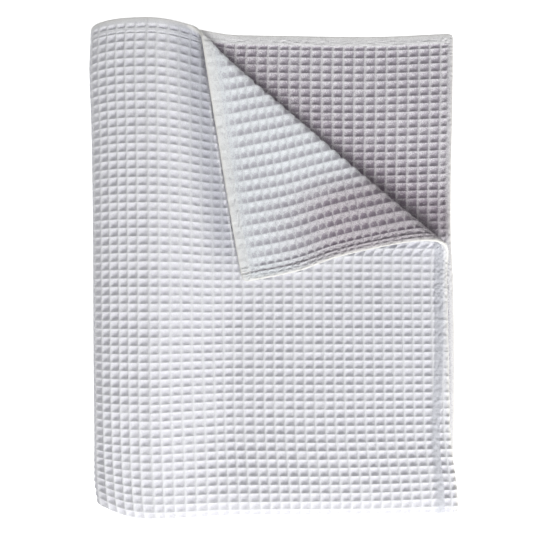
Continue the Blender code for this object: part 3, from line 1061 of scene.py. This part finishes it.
@dataclass
class ClothPiece:
    """One stretch of the panel as a closed sheet with its weave on both faces."""

    panel: FoldedPanel
    name: str
    columns: Pair
    rows: Pair
    front: Relief
    back: Relief
    finish: bpy.types.Material
    column_table: str = "front"
    steps: tuple[tuple[float, ...], tuple[float, ...]] = FRONT_STEPS
    hem_columns: float = 33.0
    hem_rows: float = 58.0
    rim_lines: tuple[float, ...] = (0.0018, 0.0012, 0.0006, 0.0)
    rim_width: float = 0.0042
    band_share: float = 0.3
    band_inset: float = 0.001
    band_fade: float = 0.002
    # Strength of the stitch line; the painted deep shade from deep() is added to the same mark apart from
    # it.
    stitch: float = 1.0
    stitch_width: float = 0.0007
    # Painted shade on the front: the turned corner's shadow in the valley, a dimmer patch on the right,
    # and along the side seam.
    valley_width: float = 0.034
    valley_inside: float = 0.004
    valley_fade: float = 0.070
    valley_shade: float = 0.95
    shaded_patch_middle: Pair = (0.34, 0.20)
    shaded_patch_reach: Pair = (0.10, 0.14)
    shaded_patch_share: float = 0.18
    seam_shade: float = 0.68
    flatness: float = 0.01
    seed: int = 7
    net: dict[str, Array] = field(init=False)

    def lines(self, span: Pair, table: Table, name: str, fine: float) -> Array:
        """Counts of ribs at which the sheet has an edge.

        Args:
            span: first and last count. One past the table's ends stands for the hem.
            table: where the ribs lie.
            name: the table's column.
            fine: count past which the hem has closer edges.

        Returns:
            The counts, in blocks of equal numbers of steps.
        """
        counts = table.column("rib")
        block = len(self.steps[0])
        first, last = max(span[0], counts[0]), min(span[1], counts[-1])
        start, end = math.ceil(first * 2.0) / 2.0, math.floor(last * 2.0) / 2.0
        end = end if end < counts[-1] else end - 0.5
        found: list[float] = []
        if first <= counts[0]:
            start = start if start > counts[0] else start + 0.5
            rims = [table.straight(name, first) + rim for rim in self.rim_lines[::-1][:block]]
            found += [table.back(name, rim) for rim in rims]
        for at in np.arange(start, end, 0.5):
            if min(abs(at), abs(at + 0.25)) >= fine:
                found += [at + 0.5 * i / (2 * block) for i in range(2 * block)]
            else:
                found += [at + step for step in self.steps[int(at * 2.0) % 2]]
        found.append(end)
        if last >= counts[-1]:
            rims = [table.straight(name, last) - rim for rim in self.rim_lines[-block:]]
            found += [table.back(name, rim) for rim in rims]
        return np.array(found)

    def placed(self) -> dict[str, Array]:
        """Places every line of the flat panel's weave on the folded form.

        Returns:
            Counts of ribs, places on the flat panel, distances to its hems, the middle of the
            cloth before and after any turning, the distance beyond the crease, and the
            direction off the front.
        """
        column_lines = self.lines(self.columns, COLUMNS, "front", self.hem_columns)
        row_lines = self.lines(self.rows, ROWS, "along", self.hem_rows)
        rib_across, rib_along = np.meshgrid(column_lines, row_lines)
        across = COLUMNS.straight(self.column_table, rib_across)
        along = ROWS.straight("along", rib_along)
        across, middle, folded = self.settle(rib_across, across, along)
        slope_across = np.gradient(middle, column_lines, axis=1)
        slope_along = np.gradient(middle, row_lines, axis=0)
        normal = np.cross(slope_across, slope_along)
        normal = normal / np.linalg.norm(normal, axis=-1, keepdims=True)
        return {
            "rib_across": rib_across, "rib_along": rib_along, "across": across, "along": along,
            "to_side": self.panel.flat_width / 2.0 - np.abs(across),
            "to_top": self.panel.flat_length / 2.0 - np.abs(along),
            "middle": middle, "normal": normal, "folded": folded,
            "beyond": self.panel.beyond_crease(folded),
        }

    def settle(
        self, rib_across: Array, across: Array, along: Array
    ) -> tuple[Array, Array, Array]:
        """Folds the piece: its places across the panel, its middle, and that before any turning."""
        folded = self.panel.folded(across, along)
        return across, folded, folded

    def fine(self, side: Side) -> Array:
        """Where a face shows, so that it keeps all its edges."""
        return np.full(self.net["across"].shape, side is Side.FRONT)

    def shade(self) -> Array:
        """How deep the back face lies in the shade of the folds, from 0 to 1."""
        return np.zeros(self.net["across"].shape)

    def deep(self) -> Array:
        """Where the back is so deep in shade that its ribs are dark too, from 0 to 1."""
        return np.zeros(self.net["across"].shape)

    def front_shade(self) -> Array:
        """Painted shade on the front: the turned corner's shadow in the valley beside it, a dimmer patch
        on the right, and along the side seam.

        Returns:
            The painted shade, from 0 to 1.
        """
        side, top = self.panel.margins(self.net["folded"])
        valley = smooth(1.0 + top / self.valley_width) * (top < self.valley_inside)
        valley = valley * smooth(side / self.valley_fade)
        shaded_patch = self.shaded_patch_share
        for name, middle, reach in zip(("across", "along"), self.shaded_patch_middle, self.shaded_patch_reach):
            shaded_patch = shaded_patch * bell(self.net[name], middle, reach)
        seam = self.front.seam(self.net["to_side"], self.net["to_top"])
        grey = np.maximum(self.valley_shade * valley, shaded_patch + self.seam_shade * seam)
        return grey * (self.net["across"] > 0.0)

    def build(self, origin: Array) -> bpy.types.Object:
        """Makes the piece.

        Args:
            origin: the folding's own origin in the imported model's frame.

        Returns:
            The finished piece.
        """
        self.net = self.placed()
        rows, columns = self.net["across"].shape
        bpy.ops.object.select_all(action="DESELECT")
        bpy.ops.mesh.primitive_grid_add(x_subdivisions=columns - 1, y_subdivisions=rows - 1, size=1.0)
        piece = bpy.context.object
        piece.name = piece.data.name = self.name
        place = np.array([(i, j, 0.0) for j in range(rows) for i in range(columns)], np.float32)
        piece.data.vertices.foreach_set("co", place.ravel())
        shell = piece.modifiers.new("two_faces", "SOLIDIFY")
        shell.thickness, shell.offset = 1.0, -1.0
        bpy.ops.object.modifier_apply(modifier=shell.name)
        self.thin(piece.data)
        self.shape(piece.data, origin)
        piece.data.shade_smooth()
        piece.data.materials.append(self.finish)
        return piece

    def thin(self, mesh: bpy.types.Mesh) -> None:
        """Takes the edges between ribs and pits out of the faces that don't show.

        Args:
            mesh: the flat sheet, with its points at whole columns and rows.
        """
        block = len(self.steps[0])
        place = np.round(read(mesh.vertices, "co", 3, np.float32)).astype(int)
        centres = read(mesh.polygons, "center", 3, np.float32)
        rows, columns = self.net["across"].shape
        middle = [
            np.minimum((centres[:, axis] // block * block + block // 2).astype(int), size - 1)
            for axis, size in ((0, columns), (1, rows))
        ]
        hidden = np.zeros(len(mesh.polygons), bool)
        for side, level in ((Side.FRONT, 0.0), (Side.BACK, -1.0)):
            shows = self.fine(side)[middle[1], middle[0]]
            hidden |= (np.abs(centres[:, 2] - level) < self.flatness) & ~shows
        if not hidden.any():
            return
        ends = place[read(mesh.edges, "vertices", 2, np.int32)]
        on_line = (ends[:, 0, :2] == ends[:, 1, :2]) & (ends[:, 0, :2] % block == 0)
        mesh.edges.foreach_set("use_seam", on_line.any(axis=1))
        bpy.ops.object.mode_set(mode="EDIT")
        bpy.ops.mesh.select_mode(type="FACE")
        bpy.ops.mesh.select_all(action="DESELECT")
        bpy.ops.object.mode_set(mode="OBJECT")
        mesh.polygons.foreach_set("select", hidden)
        bpy.ops.object.mode_set(mode="EDIT")
        bpy.ops.mesh.dissolve_limited(
            angle_limit=self.flatness, use_dissolve_boundaries=False, delimit={"SEAM"}
        )
        bpy.ops.object.mode_set(mode="OBJECT")
        mesh.edges.foreach_set("use_seam", np.zeros(len(mesh.edges), bool))

    def shape(self, mesh: bpy.types.Mesh, origin: Array) -> None:
        """Moves the flat sheet's points to the folded form and raises its weave.

        Args:
            mesh: the flat sheet, with its points at whole columns and rows.
            origin: the folding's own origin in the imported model's frame.
        """
        place = np.round(read(mesh.vertices, "co", 3, np.float32)).astype(int)
        index = (place[:, 1], place[:, 0])
        is_back = place[:, 2] < 0

        def by_face(on_front: Array, on_back: Array) -> Array:
            """Gives every point the value of the face that it is on."""
            return np.where(is_back, on_back[index], on_front[index])

        ribs = (self.net["rib_across"], self.net["rib_along"])
        to_side, to_top = self.net["to_side"], self.net["to_top"]
        chance = np.random.default_rng(self.seed)
        front, front_pit = self.front.height(ribs, (to_side, to_top), chance)
        back, back_pit = self.back.height(ribs, (to_side, to_top), chance)
        height = by_face(front, -back)[:, None]
        moved = self.net["middle"][index] + self.net["normal"][index] * height + origin
        moved[:, 2] = np.maximum(moved[:, 2], 0.0)
        mesh.vertices.foreach_set("co", moved.astype(np.float32).ravel())
        counts = np.stack([by_face(count, count + self.back.count_shift()) for count in ribs], axis=1)
        corners = read(mesh.loops, "vertex_index", 1, np.int32)[:, 0]
        layer = mesh.uv_layers[0] if mesh.uv_layers else mesh.uv_layers.new()
        layer.name = "ribs"
        layer.data.foreach_set("uv", counts[corners].astype(np.float32).ravel())
        # The stitch mark carries the stitch line and the painted deep shade from deep().
        stitch = self.stitch * bell(to_side, self.back.groove_place, self.stitch_width) + self.deep()
        # Lighter cream at the hem edges, and on the back a lighter top hem band: a cream tint and painted
        # highlight.
        rim = np.clip(1.0 - np.minimum(to_side, to_top) / self.rim_width, 0.0, 1.0)
        band = 1.0 - past(to_top, self.back.top_hem - self.band_inset, self.band_fade)
        values_by_name = {
            "pit": by_face(front_pit, back_pit),
            "back": is_back,
            "shade": by_face(self.front_shade(), self.shade()),
            "rim": by_face(rim, np.maximum(rim, self.band_share * band)),
            "stitch": by_face(np.zeros_like(stitch), stitch),
        }
        for name, values in values_by_name.items():
            attribute = mesh.attributes.new(name, "FLOAT", "POINT")
            attribute.data.foreach_set("value", values.astype(np.float32))
        mesh.update()

    def declare(self, piece: bpy.types.Object) -> None:
        """Tells the frame what the piece rides on, and hides the part that it stands for.

        Args:
            piece: the finished piece.
        """
        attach(piece, BODY)
        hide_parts(NODE)


@dataclass
class TopLayer(ClothPiece):
    """A stretch of the top layer that lies as it was folded, with its front up."""


@dataclass
class TurnedCorner(ClothPiece):
    """The corner of the top layer that is turned back over the slanting crease."""

    lean_reach: float = 0.016
    back_from: float = -0.010
    front_until: float = 0.016
    covered_from: float = -0.020
    covered_inside: float = 0.010
    beside_shade: float = 0.45
    beside_place: float = 0.004
    beside_reach: float = 0.008
    end_length: float = 0.100
    end_width: float = 0.050
    end_widths: float = 2.1
    shade_along: float = 0.490
    deep_along: float = 0.450
    deep_share: float = 0.30

    def settle(
        self, rib_across: Array, across: Array, along: Array
    ) -> tuple[Array, Array, Array]:
        """Folds the layer, spreads the ribs of its turned corner, and turns the corner back.

        Args:
            rib_across: count of ribs across.
            across: distance across the flat panel from its middle.
            along: distance along it from its middle.

        Returns:
            The distances across with the ribs spread, and the cloth's middle after and before
            the turning.
        """
        folded = self.panel.folded(across, along)
        spread = smooth(self.panel.cover(folded) / self.lean_reach) * (along > 0.0)
        across = across + (COLUMNS.straight("turned", rib_across) - across) * spread
        folded = self.panel.folded(across, along)
        right = folded[..., 0] > self.panel.crown_across
        turned = np.where(right[..., None], self.panel.turned(folded), folded)
        return across, turned, folded

    def fine(self, side: Side) -> Array:
        """Where a face shows: the front but under the corner, and the back on the corner alone.

        Args:
            side: the face.

        Returns:
            True where the face keeps all its edges.
        """
        beyond = self.net["beyond"]
        if side is Side.BACK:
            return beyond > self.back_from
        inside = self.panel.cover(self.net["folded"]) > self.covered_inside
        return (beyond < self.front_until) & ~((beyond < self.covered_from) & inside)

    def shade(self) -> Array:
        """The corner's back darkens towards the lower end of the crease, and a little along it."""
        beside = bell(self.net["beyond"], self.beside_place, self.beside_reach)
        return np.minimum(self.lower_end(self.shade_along) + self.beside_shade * beside, 1.0)

    def lower_end(self, start: float) -> Array:
        """How near a point is to the lower end of the crease, from a distance along, from 0 to 1."""
        near_side = smooth(self.end_widths - self.net["to_side"] / self.end_width)
        return smooth((start - self.net["along"]) / self.end_length) * near_side

    def deep(self) -> Array:
        """The ribs are a little darker too towards the lower end of the crease."""
        return self.deep_share * self.lower_end(self.deep_along)


@dataclass
class SecondLayer(ClothPiece):
    """The layer under the top one, which shows where the corner is turned back."""

    shows_from: float = -0.03
    shows_until: float = -0.2
    least_shade: float = 0.42
    beside_shade: float = 0.40
    beside_reach: float = 0.060
    low_shade: float = 0.50
    low_along: float = 0.400
    low_reach: float = 0.140
    corner_along: float = 0.275
    corner_fade: float = 0.020
    below_light: float = 0.9
    hem_width: float = 0.009
    hem_fade: float = 0.003
    deep_share: float = 0.55
    deep_along: float = 0.338
    deep_reach: float = 0.045

    def fine(self, side: Side) -> Array:
        """Where a face shows: the back beyond the crease, and the front nowhere.

        Args:
            side: the face.

        Returns:
            True where the face keeps all its edges.
        """
        if side is Side.FRONT:
            return np.zeros(self.net["across"].shape, bool)
        return (self.net["beyond"] > self.shows_from) & (self.net["along"] < self.shows_until)

    def shade(self) -> Array:
        """The layer lies in shade, more so near the crease and towards its lower end.

        Returns:
            The shade, from 0 to 1.
        """
        along = self.net["folded"][..., 1]
        beside = smooth(1.0 - self.net["beyond"] / self.beside_reach)
        low = smooth((self.low_along - along) / self.low_reach)
        shade = self.least_shade + self.beside_shade * beside + self.low_shade * low
        below_corner = 1.0 - past(along, self.corner_along, self.corner_fade)
        shade = np.minimum(shade, 1.0) * (1.0 - self.below_light * below_corner)
        return shade * past(self.net["to_top"], self.hem_width, self.hem_fade)

    def deep(self) -> Array:
        """The ribs are dark beside the lower end of the crease."""
        along = self.net["folded"][..., 1]
        near = smooth((self.deep_along - along) / self.deep_reach)
        return self.deep_share * near * past(along, self.corner_along, self.corner_fade)


@dataclass
class UnderLayers(ClothPiece):
    """The two layers underneath, with the fold that joins them."""

    shows_from: float = -0.02

    def fine(self, side: Side) -> Array:
        """The front of the bottom layer shows from below, and nothing else does."""
        return (self.net["along"] > self.shows_from) & (side is Side.FRONT)


@dataclass(frozen=True)
class Lamp:
    """One soft square light that points at the blanket."""

    name: str
    place: Triple
    size: float
    power: float

    def add(self) -> bpy.types.Object:
        """Adds the light to the scene.

        Returns:
            The light's object.
        """
        data = bpy.data.lights.new(self.name, "AREA")
        data.shape, data.size, data.energy = "SQUARE", self.size, self.power
        lamp = bpy.data.objects.new(self.name, data)
        lamp.location = self.place
        lamp.rotation_euler = (-Vector(self.place)).to_track_quat("-Z", "Y").to_euler()
        bpy.context.scene.collection.objects.link(lamp)
        return lamp


@dataclass(frozen=True)
class Studio:
    """Pale floor, soft lights and the camera straight above."""

    camera_across: float = 0.17875
    camera_along: float = 0.25468
    camera_height: float = 0.600
    view_width: float = 0.5664
    sensor_width: float = 36.0
    floor_size: float = 6.0
    floor_drop: float = 0.0003
    floor_colour: Triple = (0.90, 0.90, 0.90)
    floor_roughness: float = 0.9
    floor_glow: float = 0.75
    sky: float = 0.24
    white: tuple[float, float, float, float] = (1.0, 1.0, 1.0, 1.0)
    lamps: tuple[Lamp, ...] = (
        Lamp("key", (0.70, -1.35, 1.05), size=0.6, power=30.0),
        Lamp("fill", (-0.9, 0.0, 1.6), size=1.2, power=6.0),
    )

    def floor(self) -> bpy.types.Object:
        """Makes the plain pale floor.

        Returns:
            The floor.
        """
        bpy.ops.object.select_all(action="DESELECT")
        bpy.ops.mesh.primitive_plane_add(size=self.floor_size, location=(0.0, 0.0, -self.floor_drop))
        floor = bpy.context.object
        floor.name = floor.data.name = "floor"
        bpy.ops.object.transform_apply(location=True, rotation=True, scale=True)
        graph = Graph("pale_floor")
        shader = graph.node("ShaderNodeBsdfPrincipled", inputs={
            "Base Color": (*self.floor_colour, 1.0), "Roughness": self.floor_roughness,
            "Emission Color": self.white, "Emission Strength": self.floor_glow,
        })
        graph.node("ShaderNodeOutputMaterial", inputs={0: shader.outputs[0]})
        floor.data.materials.append(graph.material)
        return floor

    def camera(self, origin: Array) -> bpy.types.Object:
        """Places the camera straight above the blanket, with the top hems at the top.

        Args:
            origin: the folding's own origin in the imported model's frame.

        Returns:
            The camera's object.
        """
        data = bpy.data.cameras.new("camera")
        data.sensor_width = self.sensor_width
        data.lens = data.sensor_width * self.camera_height / self.view_width
        camera = bpy.data.objects.new("camera", data)
        camera.location = (
            float(origin[0]) + self.camera_across, float(origin[1]) + self.camera_along, self.camera_height
        )
        bpy.context.scene.collection.objects.link(camera)
        bpy.context.scene.camera = camera
        return camera

    def set_up(self, origin: Array) -> None:
        """Makes the floor, the lights, the sky and the camera.

        Args:
            origin: the folding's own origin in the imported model's frame.
        """
        self.floor()
        for lamp in self.lamps:
            lamp.add()
        world = bpy.data.worlds.new("sky")
        world.use_nodes = True
        background = world.node_tree.nodes["Background"]
        background.inputs["Color"].default_value = self.white
        background.inputs["Strength"].default_value = self.sky
        bpy.context.scene.world = world
        bpy.context.scene.view_settings.view_transform = "Standard"
        self.camera(origin)


def main() -> None:
    """Builds the studio and every piece of the blanket in order."""
    logging.basicConfig(level=logging.INFO, format="%(name)s: %(message)s")
    panel = FoldedPanel()
    origin = panel.origin()
    LOG.info("folding origin at %.4f, %.4f", origin[0], origin[1])
    Studio().set_up(origin)
    cotton = WaffleCotton(
        "waffle_cotton", TURNED_PITS,
        light_back=(0.825, 0.862, 0.885), pit_back=(0.64, 0.635, 0.69),
    ).material()
    # The second layer's own copy of the cotton, with painted light and shade for where it lies under the
    # turned corner: lighter ribs, darker pits in their own shape.
    second_cotton = WaffleCotton(
        "waffle_cotton_second", SECOND_PITS,
        light_back=(0.89, 0.895, 0.915), pit_back=(0.60, 0.575, 0.635),
    ).material()
    front = Relief(Side.FRONT, peak=0.0015, depth=0.0021)
    back = Relief(Side.BACK, peak=0.0016, depth=0.0026)
    turned_back = Relief(Side.BACK, peak=0.0014, depth=0.0019)
    second_back = Relief(
        Side.BACK, peak=0.0016, depth=0.0026, top_fade=0.0012, top_least=0.06,
        side_share=0.2, side_rim=0.0055,
    )
    pieces = (
        TopLayer(panel, "top_layer_roll", (-6.5, 5.0), (-1.5, 70.0), front, back, cotton),
        TopLayer(panel, "top_layer_right", (5.0, 40.0), (-1.5, 27.0), front, back, cotton),
        TurnedCorner(
            panel, "turned_corner", (5.0, 40.0), (27.0, 70.0), front, turned_back, cotton,
            steps=BOTH_STEPS,
        ),
        SecondLayer(
            panel, "second_layer", (-2.5, 40.0), (-70.0, -1.5), front, second_back, second_cotton,
            column_table="second", steps=BACK_STEPS, stitch=0.0, seed=11,
        ),
        UnderLayers(
            panel, "under_layers", (-40.0, -6.5), (-70.0, 70.0), front, back, cotton,
            steps=PLAIN_STEPS, hem_columns=99.0, hem_rows=99.0, seed=13,
        ),
    )
    for piece in pieces:
        piece.declare(piece.build(origin))


if __name__ == "__main__":
    main()
